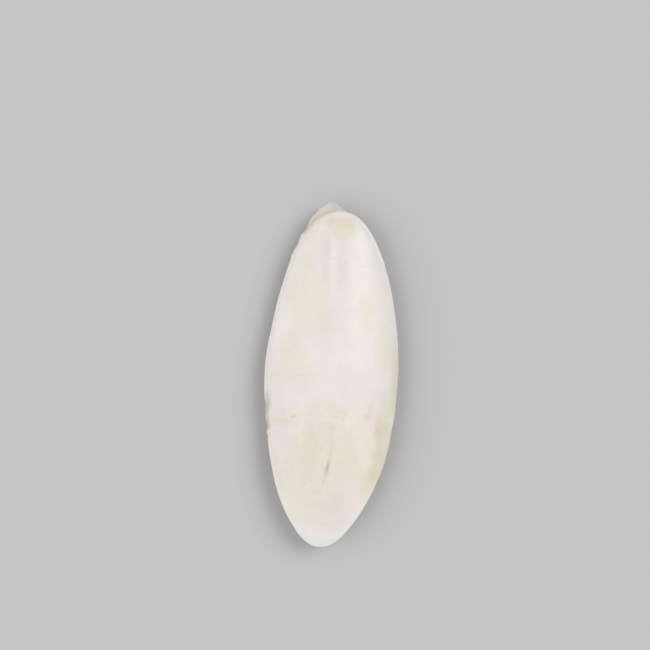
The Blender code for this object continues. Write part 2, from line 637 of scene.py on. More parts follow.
@dataclass(frozen=True)
class Spot:
    """A stain or tinted patch: an ellipse with a soft, ragged edge, turned anticlockwise from +X."""

    mask: Mask
    centre: tuple[float, float]
    radii: tuple[float, float]
    strength: float
    turn_deg: float = 0.0
    softness: float = 0.6
    raggedness: float = 0.35
    finest_rag: float = 1.2

    def at(self, x: Array, y: Array) -> Array:
        """The spot's strength.

        Args:
            x: places across the bone.
            y: places along it.

        Returns:
            strength inside the ellipse, falling to 0 across its soft edge.
        """
        turn = math.radians(self.turn_deg)
        dx, dy = x - self.centre[0], y - self.centre[1]
        u = (dx * math.cos(turn) + dy * math.sin(turn)) / self.radii[0]
        v = (dy * math.cos(turn) - dx * math.sin(turn)) / self.radii[1]
        ragged = self.raggedness * Noise(61, max(min(self.radii), self.finest_rag), 3).at(x, y)
        return self.strength * smoothstep(1.0 + self.softness, 1.0 - self.softness, np.hypot(u, v) + ragged)


@dataclass(frozen=True)
class Patina:
    """Where the chalk is creamier, stained or dirty, and where light and shade are painted on it as lighter
    and darker patches.
    """

    spots: tuple[Spot, ...] = (
        Spot(Mask.CREAM, (-8.5, 22.4), (6.0, 8.5), 0.82, 12.0, 0.5),
        Spot(Mask.CREAM, (-11.6, 4.6), (4.2, 7.2), 0.72, 10.0, 0.5),
        Spot(Mask.CREAM, (9.6, 18.8), (2.8, 6.6), 0.55),
        Spot(Mask.CREAM, (15.3, 8.1), (2.6, 8.0), 0.55),
        Spot(Mask.CREAM, (-13.9, -15.0), (2.2, 1.5), 1.10),
        Spot(Mask.CREAM, (-10.0, -12.8), (2.3, 1.1), 0.85, 18.0),
        Spot(Mask.CREAM, (0.9, 43.4), (3.5, 2.8), 1.20, 0.0, 0.7),
        Spot(Mask.CREAM, (-5.4, 45.6), (2.8, 1.2), 0.70, 35.0),
        Spot(Mask.CREAM, (-7.1, 38.2), (1.2, 1.7), 0.50),
        Spot(Mask.CREAM, (-8.9, 34.4), (1.2, 1.4), 0.45),
        Spot(Mask.CREAM, (9.4, -12.6), (3.0, 4.5), 0.60),
        Spot(Mask.CREAM, (12.0, -22.0), (2.6, 7.5), 0.75, -9.0, 0.8),
        Spot(Mask.CREAM, (-8.0, -41.6), (4.6, 3.6), 0.72, -35.0),
        Spot(Mask.CREAM, (-11.4, -29.2), (2.2, 3.6), 0.72, 10.0, 0.8),
        Spot(Mask.OLIVE, (17.6, -9.0), (2.6, 8.0), 0.48, -3.0),
        Spot(Mask.OLIVE, (17.0, -21.0), (2.6, 8.0), 0.80, -7.0),
        Spot(Mask.OLIVE, (14.9, -29.0), (2.6, 7.0), 1.05, -17.0, 0.8),
        Spot(Mask.OLIVE, (19.8, 2.5), (1.4, 12.0), 0.80, 1.0, 0.8),
        Spot(Mask.OLIVE, (16.6, 9.0), (2.0, 5.0), 0.12, 2.0),
        Spot(Mask.OLIVE, (1.4, 43.2), (3.0, 1.8), 0.35, 0.0, 0.8),
        Spot(Mask.OLIVE, (-4.9, -23.4), (2.8, 7.0), 0.28, -10.0),
        Spot(Mask.OLIVE, (-4.9, 48.5), (3.6, 1.4), 0.50, 38.0),
        Spot(Mask.OLIVE, (-9.4, 45.2), (1.3, 2.8), 0.90, -26.0),
        Spot(Mask.OLIVE, (-2.6, 45.2), (1.1, 1.5), 0.45, 0.0, 0.8),
        Spot(Mask.OLIVE, (-14.0, -14.7), (1.8, 1.2), 0.26),
        Spot(Mask.OLIVE, (-14.9, -29.5), (1.3, 6.0), 0.45, 15.0, 0.8),
        Spot(Mask.OLIVE, (-18.9, -9.4), (1.3, 2.8), 0.75, 3.0, 0.7),
        Spot(Mask.OLIVE, (-18.7, -15.2), (1.0, 2.8), 0.90, 7.0, 0.7),
        Spot(Mask.RUST, (0.3, 46.0), (3.9, 1.8), 0.48, 0.0, 0.6, 0.25),
        Spot(Mask.RUST, (-2.1, 46.6), (1.7, 0.7), 0.28, 0.0, 0.8),
        Spot(Mask.RUST, (2.2, 45.0), (1.8, 0.7), 0.14, 0.0, 0.8),
        Spot(Mask.RUST, (14.9, -16.3), (1.2, 3.6), 0.60, 7.5, 0.8),
        Spot(Mask.RUST, (11.5, -12.2), (1.1, 1.4), 0.32, 0.0, 0.8),
        Spot(Mask.RUST, (-18.6, -21.0), (0.9, 3.5), 0.30, 7.0, 0.8),
        # Painted light: the lighter patches right of the middle stand for a soft highlight, the narrow streak
        # at x -1.2 for light on the ridge between the troughs, and the patch on the left flank for light
        # where the lamps leave it darker.
        Spot(Mask.PALE, (8.5, 26.0), (4.6, 19.0), 0.75, 3.0, 0.8, 0.25),
        Spot(Mask.PALE, (7.4, 40.0), (1.6, 5.0), 0.55, 12.0, 0.8, 0.25),
        Spot(Mask.PALE, (-1.2, 33.0), (1.0, 10.0), 0.40, 3.0, 0.9, 0.2),
        Spot(Mask.PALE, (6.0, 8.0), (4.5, 9.0), 0.35, 0.0, 0.9, 0.25),
        Spot(Mask.PALE, (4.8, -11.4), (4.6, 3.6), 0.60, 0.0, 0.9, 0.25),
        Spot(Mask.PALE, (-15.4, 20.0), (3.0, 16.0), 0.95, -11.0, 0.9),
        # Painted shade: darker patches along the troughs of the head half, in a groove, in the middle, on the
        # right flank and towards the tail.
        Spot(Mask.SHADE, (-1.9, 35.0), (4.9, 9.0), 0.10, 0.0, 0.7, 0.25),
        Spot(Mask.SHADE, (-3.9, 34.5), (1.2, 9.0), 0.22, 3.0, 0.8, 0.2),
        Spot(Mask.SHADE, (-3.2, 41.0), (1.9, 3.6), 0.45, 3.0, 0.8, 0.2),
        Spot(Mask.SHADE, (12.3, -9.4), (0.9, 1.5), 0.50, 0.0, 0.8),
        Spot(Mask.SHADE, (-2.5, 14.0), (4.0, 7.0), 0.25, 10.0),
        Spot(Mask.SHADE, (15.6, 19.0), (3.4, 15.0), 0.20, 8.0, 0.8),
        Spot(Mask.SHADE, (3.2, -43.6), (5.0, 6.0), 0.55),
        Spot(Mask.SHADE, (-13.5, -23.6), (4.0, 9.0), 0.45, 12.0),
        Spot(Mask.SHADE, (-3.5, -36.5), (9.0, 10.0), 0.45, 0.0, 0.8),
        Spot(Mask.DIRT, (-19.0, -9.4), (1.0, 2.4), 0.26, 3.0, 0.7, 0.6),
        Spot(Mask.DIRT, (-19.4, -11.0), (0.6, 1.2), 0.40, 3.0, 0.8, 0.5),
        Spot(Mask.DIRT, (-18.8, -15.2), (0.8, 2.4), 0.42, 7.0, 0.8, 0.4),
    )

    def total(self, mask: Mask, x: Array, y: Array) -> Array:
        """The spots of one kind together, at most 1."""
        return np.clip(sum(spot.at(x, y) for spot in self.spots if spot.mask is mask), 0.0, 1.0)


# Finishes


class Tint(Enum):
    """Colours of the bone, of the light and shade painted on it, and of the floor, as sRGB hex values."""

    CHALK = "EAE2DF"
    CHALK_PINK = "E6DBD8"
    # Painted light: the white of the lighter patches that stand for a highlight and for light on a flank.
    CHALK_WHITE = "F3ECE9"
    CREAM = "E3DFC9"
    BARED = "E1DBC6"
    # Painted shade: the pinkish grey of the darker patches.
    SHADE = "DBD0CE"
    OLIVE = "D3CEB6"
    LIP = "B8B7B5"
    RUST = "D3BD99"
    DIRT = "897757"
    RIM = "DEE0DA"
    SHIELD = "E3D8C9"
    SHIELD_PINK = "DCC9BB"
    # Painted sheen: the lighter colour of the shield's grain tops.
    SHIELD_LIGHT = "EDE6DB"
    FLOOR = "C2C2C2"

    @property
    def linear(self) -> Colour:
        """The colour as linear light, with an alpha of 1.

        Returns:
            c / 12.92 for a dark channel c, else ((c + 0.055) / 1.055)^2.4, for red, green and blue, and 1.
        """
        srgb = [int(self.value[i : i + 2], 16) / 255.0 for i in (0, 2, 4)]
        light = [c / 12.92 if c <= 0.04045 else ((c + 0.055) / 1.055) ** 2.4 for c in srgb]
        return (*light, 1.0)


# The number of the Mix node's output for colours
MIXED_COLOUR = 2


def add_node(
    tree: Tree, kind: str, inputs: dict[int | str, object], output: int | str = 0, **settings: object
) -> Socket | None:
    """Add a shader node, set it and link it.

    Args:
        tree: the node tree that it goes in.
        kind: the node's type, without its ShaderNode prefix.
        inputs: values or other nodes' output sockets, by the input's identifier, name or number.
        output: the number or name of the output that is wanted.
        settings: the node's own properties.

    Returns:
        That output, or None if the node has none.
    """
    node = tree.nodes.new("ShaderNode" + kind)
    for name, value in settings.items():
        setattr(node, name, value)
    sockets = {s.name: s for s in reversed(node.inputs)} | {s.identifier: s for s in node.inputs}
    sockets |= dict(enumerate(node.inputs))
    for key, value in inputs.items():
        if isinstance(value, Socket):
            tree.links.new(value, sockets[key])
        else:
            sockets[key].default_value = value
    return node.outputs[output] if node.outputs else None


@dataclass(frozen=True)
class Speckle:
    """A kind of shader noise: its wavelength in millimetres, its layers and how strong the fine ones are."""

    wavelength: float
    detail: float
    roughness: float = 0.5


@dataclass(frozen=True)
class Surface:
    """What every finish reads: the node tree, the place in millimetres and the mesh's masks."""

    tree: Tree
    place: Socket
    masks: dict[Mask, Socket]

    @classmethod
    def of(cls, tree: Tree) -> Surface:
        """The surface of the piece that a material is on.

        Args:
            tree: the material's node tree.

        Returns:
            The surface, with its Object coordinates scaled to millimetres.
        """
        metres = add_node(tree, "TexCoord", {}, "Object")
        place = add_node(tree, "VectorMath", {0: metres, "Scale": 1.0 / MM}, operation="SCALE")
        masks = {mask: add_node(tree, "Attribute", {}, "Fac", attribute_name=mask.value) for mask in Mask}
        return cls(tree, place, masks)

    def noise(self, kind: Speckle) -> Socket:
        """Noise between about 0 and 1."""
        size = {"Scale": 1.0 / kind.wavelength, "Detail": kind.detail, "Roughness": kind.roughness}
        return add_node(self.tree, "TexNoise", {"Vector": self.place} | size)

    def math(self, operation: str, *values: Socket | float, clamp: bool = False) -> Socket:
        """The result of a Math node's operation, kept between 0 and 1 where clamp is set."""
        return add_node(self.tree, "Math", dict(enumerate(values)), operation=operation, use_clamp=clamp)

    def ramp(
        self, value: Socket, span: Span, ends: tuple[float, float] = (0.0, 1.0), **settings: str
    ) -> Socket:
        """The way from one end to the other while a value crosses a span. It is level outside the span.

        Args:
            value: the value.
            span: where the way begins, and where it is complete.
            ends: the results at those two places.
            settings: the Map Range node's own properties, for a way that isn't straight.

        Returns:
            The result.
        """
        limits = {"From Min": span[0], "From Max": span[1], "To Min": ends[0], "To Max": ends[1]}
        return add_node(self.tree, "MapRange", {"Value": value} | limits, **settings)

    def between(self, share: Socket, low: Socket, high: Socket) -> Socket:
        """The value that lies at share of the way from low to high."""
        return add_node(self.tree, "Mix", {"Factor_Float": share, "A_Float": low, "B_Float": high})

    def mixed(self, share: Socket, below: Socket | Colour, above: Socket | Colour) -> Socket:
        """A share of one colour laid over another."""
        colours = {"Factor_Float": share, "A_Color": below, "B_Color": above}
        return add_node(self.tree, "Mix", colours, MIXED_COLOUR, data_type="RGBA")


@dataclass(frozen=True)
class TintLayer:
    """A mask's tint laid over the colour below it, broken up by noise so that its edge stays natural."""

    mask: Mask
    tint: Tint
    patch_mm: float
    strength: float = 1.0
    evenness: float = 0.5
    patch_detail: float = 4.0
    patch_roughness: float = 0.6
    patch_span: Span = (0.35, 0.65)

    def over(self, surface: Surface, below: Socket) -> Socket:
        """Lay the tint over a colour.

        Args:
            surface: what the tint reads.
            below: the colour under it.

        Returns:
            The new colour.
        """
        noise = surface.noise(Speckle(self.patch_mm, self.patch_detail, self.patch_roughness))
        patches = surface.ramp(noise, self.patch_span, (self.strength * self.evenness, self.strength))
        share = surface.math("MULTIPLY", surface.masks[self.mask], patches, clamp=True)
        return surface.mixed(share, below, self.tint.linear)


@dataclass(frozen=True)
class ChalkFinish:
    """Aragonite chalk, the stacked lime plates of a cuttlebone, grown and then dried.

    It gives the eye a dead matt white, faintly pink, with cream where more skin is left between the plates.
    Close to, it has a powdery grain, is pricked with pores and is combed by the plates' edges. Painted shade
    darkens its colour where grain, plates' edges and pores lie low, and lightens it where grain and plates
    stand high. Real plates are 0.3 to 0.6 mm apart. They are drawn 0.9 mm apart, because finer lines would be
    lost in the render, and the pores are drawn larger than real ones for the same reason.

    Pores are the cores of small random cells that are pore_mm wide. Only the cells whose random number is
    above pore_rank have one. Pore sizes are in shares of a cell.
    """

    roughness: tuple[float, float] = (0.84, 0.94)
    mottle: Speckle = Speckle(9.0, 5.0, 0.6)
    mottle_span: Span = (0.35, 0.65)
    grain: Speckle = Speckle(0.45, 5.0, 0.65)
    # Painted shade: how much the grain darkens the colour where it lies low and lightens it where it stands
    # high.
    grain_painted_shade: float = 0.035
    grain_depth_mm: float = 0.022
    pore_mm: float = 0.85
    pore_rank: float = 0.45
    pore_rank_of_smallest: float = 0.4
    pore_radius: tuple[float, float] = (0.13, 0.30)
    pore_edge: float = 0.12
    pore_depth_mm: float = 0.035
    # Painted shade: how much darker the pores are.
    pore_painted_shade: float = 0.06
    plate_mm: float = 0.9
    plate_wobble: Speckle = Speckle(2.2, 3.0)
    plate_wobble_mm: float = 1.3
    plate_depth_mm: float = 0.015
    # Painted shade: how much darker the plates' edges are where they lie low, and lighter where they stand
    # high.
    plate_painted_shade: float = 0.011
    layers: tuple[TintLayer, ...] = (
        # Painted light, laid over the chalk as a whiter tint.
        TintLayer(Mask.PALE, Tint.CHALK_WHITE, 5.0, 0.95, 0.7),
        TintLayer(Mask.CREAM, Tint.CREAM, 3.0, 0.90, 0.7),
        TintLayer(Mask.BARED, Tint.BARED, 5.0, 0.95, 0.35),
        # Painted shade, laid over the chalk as a pinkish grey.
        TintLayer(Mask.SHADE, Tint.SHADE, 4.0, 0.9),
        TintLayer(Mask.RIM, Tint.RIM, 3.0, 0.9, 0.8),
        TintLayer(Mask.LIP, Tint.LIP, 2.0, 0.95, 0.85),
        TintLayer(Mask.OLIVE, Tint.OLIVE, 3.0, 0.95, 0.75),
        TintLayer(Mask.RUST, Tint.RUST, 1.6, 0.85, 0.6),
    )

    def pores(self, surface: Surface) -> Socket:
        """The pores, of uneven size and in some cells only, and none on the bare margin.

        Args:
            surface: what the pores read.

        Returns:
            1 in the middle of each pore and 0 between them.
        """
        tree = surface.tree
        cells = {"Vector": surface.place, "Scale": 1.0 / self.pore_mm, "Randomness": 1.0}
        distance = add_node(tree, "TexVoronoi", cells, "Distance")
        rank = add_node(tree, "SeparateColor", {0: add_node(tree, "TexVoronoi", cells, "Color")}, "Red")
        radius = surface.ramp(rank, (self.pore_rank_of_smallest, 1.0), self.pore_radius)
        core = surface.ramp(surface.math("SUBTRACT", radius, distance), (0.0, self.pore_edge))
        least_rank = surface.math("ADD", surface.masks[Mask.RIM], self.pore_rank)
        return surface.math("MULTIPLY", core, surface.math("GREATER_THAN", rank, least_rank))

    def plates(self, surface: Surface) -> Socket:
        """The plates' edges, a sine of the growth with a wobble added to it.

        Args:
            surface: what the plates read.

        Returns:
            Between -1 and 1 where the plates are bared, and less elsewhere.
        """
        turn = 2.0 * math.pi / self.plate_mm
        shift = surface.math("MULTIPLY", surface.noise(self.plate_wobble), self.plate_wobble_mm * turn)
        phase = surface.math("MULTIPLY_ADD", surface.masks[Mask.GROWTH], turn, shift)
        return surface.math("MULTIPLY", surface.math("SINE", phase), surface.masks[Mask.COMBED])

    def colour(self, surface: Surface) -> Socket:
        """The chalk's colour: pinkish white mottling, the tints of its masks, painted light and shade among
        them, then painted shade from grain, plates and pores.

        Args:
            surface: what the chalk reads.

        Returns:
            The colour.
        """
        mottle = surface.ramp(surface.noise(self.mottle), self.mottle_span)
        colour = surface.mixed(mottle, Tint.CHALK.linear, Tint.CHALK_PINK.linear)
        for layer in self.layers:
            colour = layer.over(surface, colour)
        # Painted shade: the colour follows the relief of grain, plates and pores, darker where it lies low.
        swing, darkest = 2.0 * self.grain_painted_shade, 1.0 - self.grain_painted_shade
        painted_relief_shade = surface.math("MULTIPLY_ADD", surface.noise(self.grain), swing, darkest)
        painted_relief_shade = surface.math("MULTIPLY_ADD", self.plates(surface), self.plate_painted_shade, painted_relief_shade)
        painted_relief_shade = surface.math("MULTIPLY_ADD", self.pores(surface), -self.pore_painted_shade, painted_relief_shade)
        return add_node(surface.tree, "VectorMath", {0: colour, "Scale": painted_relief_shade}, operation="SCALE")

    def relief(self, surface: Surface) -> Socket:
        """The chalk's fine relief.

        Args:
            surface: what the chalk reads.

        Returns:
            Its height in millimetres.
        """
        height = surface.math("MULTIPLY", surface.noise(self.grain), self.grain_depth_mm)
        height = surface.math("MULTIPLY_ADD", self.plates(surface), self.plate_depth_mm, height)
        return surface.math("MULTIPLY_ADD", self.pores(surface), -self.pore_depth_mm, height)


@dataclass(frozen=True)
class ShieldFinish:
    """The hard back, a shield of dense lime under a skin of chitin, roughened by small grains.

    It gives the eye a warm ivory, a little pink. Its grains' tops are painted a lighter colour, a painted
    sheen that stands for their dull gloss. The grains of a small bone are 0.3 to 0.8 mm wide. A grain's top
    and foot are in shares of its width.
    """

    roughness: tuple[float, float] = (0.46, 0.64)
    mottle: Speckle = Speckle(8.0, 4.0, 0.6)
    mottle_span: Span = (0.38, 0.62)
    granule_mm: float = 0.75
    granule_smoothness: float = 0.35
    granule_top: float = 0.05
    granule_foot: float = 0.75
    # Painted sheen: how much lighter the grains' tops are.
    granule_painted_sheen: float = 0.6
    granule_depth_mm: float = 0.10
    grain: Speckle = Speckle(0.2, 3.0)
    grain_depth_mm: float = 0.012
    rim: TintLayer = TintLayer(Mask.RIM, Tint.RIM, 3.0, 0.9, 0.7)

    def granules(self, surface: Surface) -> Socket:
        """The rounded grains.

        Args:
            surface: what the grains read.

        Returns:
            1 on their tops and 0 between them.
        """
        cells = {
            "Vector": surface.place,
            "Scale": 1.0 / self.granule_mm,
            "Smoothness": self.granule_smoothness,
            "Randomness": 1.0,
        }
        distance = add_node(surface.tree, "TexVoronoi", cells, "Distance", feature="SMOOTH_F1")
        dome = (self.granule_top, self.granule_foot)
        return surface.ramp(distance, dome, (1.0, 0.0), interpolation_type="SMOOTHSTEP")

    def colour(self, surface: Surface) -> Socket:
        """The shield's colour: ivory and pinkish patches, with a painted sheen that makes the tops of the
        grains lighter.

        Args:
            surface: what the shield reads.

        Returns:
            The colour.
        """
        mottle = surface.ramp(surface.noise(self.mottle), self.mottle_span)
        patches = surface.mixed(mottle, Tint.SHIELD.linear, Tint.SHIELD_PINK.linear)
        # Painted sheen on the grains' tops.
        tops = surface.math("MULTIPLY", self.granules(surface), self.granule_painted_sheen)
        return self.rim.over(surface, surface.mixed(tops, patches, Tint.SHIELD_LIGHT.linear))

    def relief(self, surface: Surface) -> Socket:
        """The shield's fine relief, without grains along the margin.

        Args:
            surface: what the shield reads.

        Returns:
            Its height in millimetres.
        """
        inner = surface.math("SUBTRACT", 1.0, surface.masks[Mask.RIM], clamp=True)
        tops = surface.math("MULTIPLY", self.granules(surface), inner)
        grain = surface.math("MULTIPLY", surface.noise(self.grain), self.grain_depth_mm)
        return surface.math("MULTIPLY_ADD", tops, self.granule_depth_mm, grain)


@dataclass(frozen=True)
class BoneFinish:
    """The whole bone's material: chalk on the face, shield on the back, dirt where it is chipped."""

    chalk: ChalkFinish = ChalkFinish()
    shield: ShieldFinish = ShieldFinish()
    dirt: TintLayer = TintLayer(Mask.DIRT, Tint.DIRT, 0.8, 1.0, 0.45)
    wear: Speckle = Speckle(1.1, 3.0)
    ior: float = 1.55
    name: str = "aragonite chalk and shield"

    def material(self) -> bpy.types.Material:
        """Make the material.

        Returns:
            A Principled material that reads the mesh's masks and Object coordinates.
        """
        material = bpy.data.materials.new(self.name)
        material.use_nodes = True
        tree = material.node_tree
        tree.nodes.clear()
        surface = Surface.of(tree)
        share = surface.masks[Mask.SHIELD]
        colour = surface.mixed(share, self.chalk.colour(surface), self.shield.colour(surface))
        height = surface.between(share, self.chalk.relief(surface), self.shield.relief(surface))
        wear, finishes = surface.noise(self.wear), (self.chalk, self.shield)
        rough = [surface.ramp(wear, (0.0, 1.0), finish.roughness) for finish in finishes]
        shader = {
            "Base Color": self.dirt.over(surface, colour),
            "Roughness": surface.between(share, *rough),
            "Normal": add_node(tree, "Bump", {"Height": height, "Distance": MM, "Strength": 1.0}),
            "IOR": self.ior,
        }
        add_node(tree, "OutputMaterial", {"Surface": add_node(tree, "BsdfPrincipled", shader)})
        return material


# The piece


@dataclass(frozen=True)
class Around:
    """The net's columns, once round the bone's section.

    They run across the face from the left edge to the right, down round the right edge, back across the
    underside, and up round the left edge. Across is -1 to 1 of the flat width. Out and up say how far the
    column lies round the edge's half circle, as shares of its radii. The face's look comes in over edge_span,
    from low to high on that half circle.
    """

    face: int = 141
    rim: int = 7
    back: int = 65
    gathering: float = 0.35
    edge_span: Span = (-1.0, 0.2)

    def spread(self, count: int) -> Array:
        """Places from -1 to 1 that gather towards both ends, a mix of even steps and a sine."""
        even = np.linspace(-1.0, 1.0, count)
        return (1.0 - self.gathering) * even + self.gathering * np.sin(even * math.pi / 2.0)

    def columns(self) -> tuple[Array, Array, Array]:
        """Where every column lies.

        Returns:
            Across, out and up of each column.
        """
        turn = np.linspace(math.pi / 2.0, -math.pi / 2.0, self.rim + 2)[1:-1]
        face, rim, back = np.ones(self.face), np.ones(self.rim), np.ones(self.back)
        across = np.concatenate([self.spread(self.face), rim, -self.spread(self.back), -rim])
        out = np.concatenate([0.0 * face, np.cos(turn), 0.0 * back, -np.cos(turn)])
        up = np.concatenate([face, np.sin(turn), -back, -np.sin(turn)])
        return across, out, up

    def faceward(self) -> Array:
        """1 on the face's columns and 0 on the back's, falling round the lower half of the edges."""
        _, out, up = self.columns()
        return np.where(out != 0.0, smoothstep(*self.edge_span, up), up > 0.0)

    @property
    def count(self) -> int:
        """How many columns there are."""
        return self.face + self.back + 2 * self.rim

    @property
    def kinds(self) -> tuple[slice, slice]:
        """The columns of the face and of the back."""
        return slice(0, self.face), slice(self.face + self.rim, self.face + self.rim + self.back)


@dataclass(frozen=True)
class Skin:
    """The bone's surface as arrays, in rows from the tail to the head and columns round the section."""

    points: Array
    masks: dict[Mask, Array]
    arc: Array


@dataclass(frozen=True)
class Ledge:
    """The shield's inner side where the chalk leaves it bare.

    It is narrow at the sides, wider round the tail, and wider by shoulder on the right of the head, where it
    widens in equal steps. It is slightly dished, and at the tail it has a low roll outside the chalk's foot.
    """

    side: float = 0.45
    head: float = 0.30
    head_span: Span = (24.4, 47.4)
    shoulder: float = 1.4
    shoulder_front: Span = (48.9, 45.5)
    shoulder_steps: tuple[Span, ...] = ((22.0, 27.0), (29.0, 34.0))
    tail: float = 1.0
    tail_from_y: float = -34.0
    tail_end_y: float = -49.3
    tail_end_rounding: float = 2.2
    foot_span: Span = (0.3, -0.3)
    edge_fade: float = 1.0
    dish: float = 0.06
    crease_depth: float = 0.06
    crease_width: float = 0.6
    roll_height: float = 0.16
    roll_from_foot: float = 1.1
    roll_width: float = 1.8
    roll_span: Span = (-22.0, -40.0)

    def on_shoulder(self, y: Array) -> Array:
        """How much of the shoulder there is at y, from 0 to 1."""
        steps = sum(smoothstep(*step, y) for step in self.shoulder_steps)
        return smoothstep(*self.shoulder_front, y) * steps / len(self.shoulder_steps)

    def width(self, right: Array, y: Array, half_length: float) -> Array:
        """The ledge's width.

        Args:
            right: 1 to the right of the middle line and 0 to its left.
            y: places along the bone.
            half_length: half the bone's length.

        Returns:
            The width at each place, in millimetres.
        """
        tailward = np.clip((self.tail_from_y - y) / (self.tail_from_y + half_length), 0.0, 1.0)
        headward = smoothstep(*self.head_span, y)
        even = self.side + (self.tail - self.side) * tailward + (self.head - self.side) * headward
        return even + self.shoulder * right * self.on_shoulder(y)

    def height(self, foot: Array, inside: Array, y: Array) -> Array:
        """Relief of the ledge and of the crease where the chalk's foot meets it.

        Args:
            foot: how far inside the chalk's foot each place is. It is negative on the ledge.
            inside: how far inside the bone's edge each place is.
            y: places along the bone.

        Returns:
            Height above a flat ledge, in millimetres.
        """
        bare = smoothstep(*self.foot_span, foot)
        away = smoothstep(0.0, self.edge_fade, inside)
        tailward = smoothstep(*self.roll_span, y)
        roll = self.roll_height * tailward * hill(foot + self.roll_from_foot, self.roll_width / 2.0)
        crease = self.crease_depth * hill(foot, self.crease_width / 2.0)
        return away * (roll - self.dish * (1.0 - tailward) * bare - crease)


@dataclass(frozen=True)
class Borders:
    """Where one look of the face gives way to the next, and how strongly each one shows.

    Foot is how far inside the chalk's foot a place is, and it is negative outside it.
    """

    chalk_foot: Span = (-0.25, 0.25)
    lip_y: Span = (39.4, 46.4)
    lip_x: Span = (4.0, 1.0)
    lip_foot: Span = (0.2, -0.4)
    lip_dark_x: Span = (-4.0, -1.5)
    least_lip: float = 0.7
    line_x: Span = (1.0, -4.0)
    line_foot: float = 0.05
    line_width: float = 1.2
    line_olive: float = 0.5
    line_dirt: float = 0.18
    tail_y: Span = (-25.0, -46.0)
    tail_loss: float = 0.75
    least_combing: float = 0.25
    # Painted shade in the troughs of the head half.
    trough_painted_shade: float = 0.5
    rim_foot: Span = (0.9, -0.3)
    rim_tail_y: Span = (-20.6, -44.0)
    rim_shoulder_x: Span = (0.0, 4.0)
    rim_shoulder: float = 0.6
    least_rim: float = 0.6
    back_rim: float = 0.8
    back_rim_width: float = 1.6

    def on_lip(self, x: Array, y: Array) -> Array:
        """1 on the left of the head's end, where the shield's lip lies bare, and 0 away from it."""
        return smoothstep(*self.lip_y, y) * smoothstep(*self.lip_x, x)

    def lip(self, x: Array, foot: Array) -> Array:
        """The lip's grey outside the chalk's foot, a little weaker on the left."""
        return smoothstep(*self.lip_foot, foot) * at_least(self.least_lip, smoothstep(*self.lip_dark_x, x))

    def line(self, x: Array, foot: Array) -> Array:
        """The darker olive line along the chalk's foot behind the lip, strongest on the left."""
        return hill(foot - self.line_foot, self.line_width / 2.0) * smoothstep(*self.line_x, x)

    def rim(self, x: Array, y: Array, foot: Array, shoulder: Array) -> Array:
        """The bare margin's grey-white.

        Args:
            x: places across the bone.
            y: places along it.
            foot: how far inside the chalk's foot each place is.
            shoulder: how much of the ledge's shoulder there is.

        Returns:
            0 on the chalk, least_rim on the margin, more than that on the shoulder and 1 at the tail.
        """
        on_right = self.rim_shoulder * shoulder * smoothstep(*self.rim_shoulder_x, x)
        paleness = smoothstep(*self.rim_tail_y, y) + on_right
        return smoothstep(*self.rim_foot, foot) * at_least(self.least_rim, paleness)


